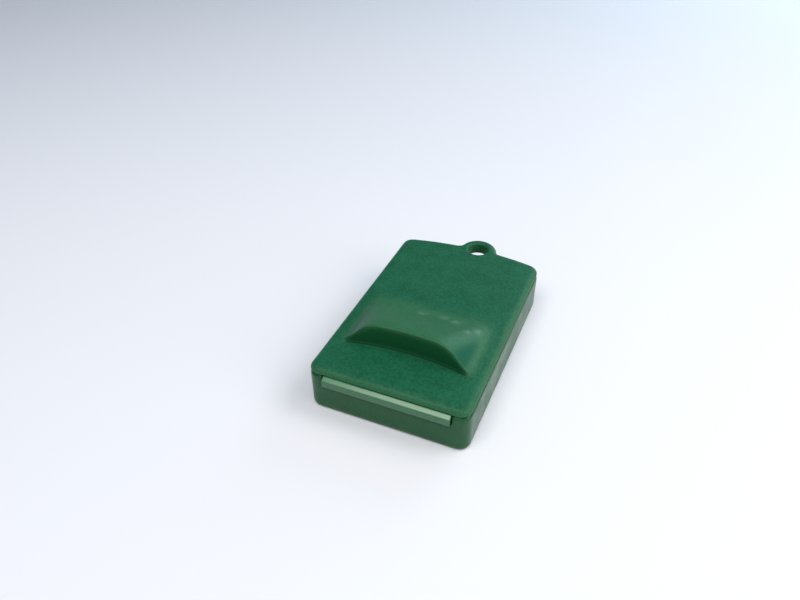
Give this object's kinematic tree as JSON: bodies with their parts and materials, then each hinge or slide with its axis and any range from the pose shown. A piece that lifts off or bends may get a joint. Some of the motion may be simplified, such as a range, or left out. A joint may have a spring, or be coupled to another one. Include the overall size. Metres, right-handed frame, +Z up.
{
  "type": "pealess pocket whistle",
  "caption": "Flat moulded plastic pocket whistle with a blowing slot over a proud lip, a raised sound-window hood, hidden sound chambers and a key-ring eye.",
  "frame": {"origin": "middle of the footprint's box, on the flat underside that it rests on", "axes": "+Y runs from the blowing lip to the key-ring eye, +Z up through the hood, +X to the right seen from the lip"},
  "size_m": [0.03, 0.0508, 0.0139],
  "materials": {
    "textured_green": "fine spark-eroded moulded texture",
    "smooth_green": "satin, smooth moulded walls",
    "lip_green": "polished by use"
  },
  "bodies": {
    "root": {"top_cover": "textured_green", "base_shell": "smooth_green", "mouthpiece_plate": "lip_green"}
  },
  "joints": []
}
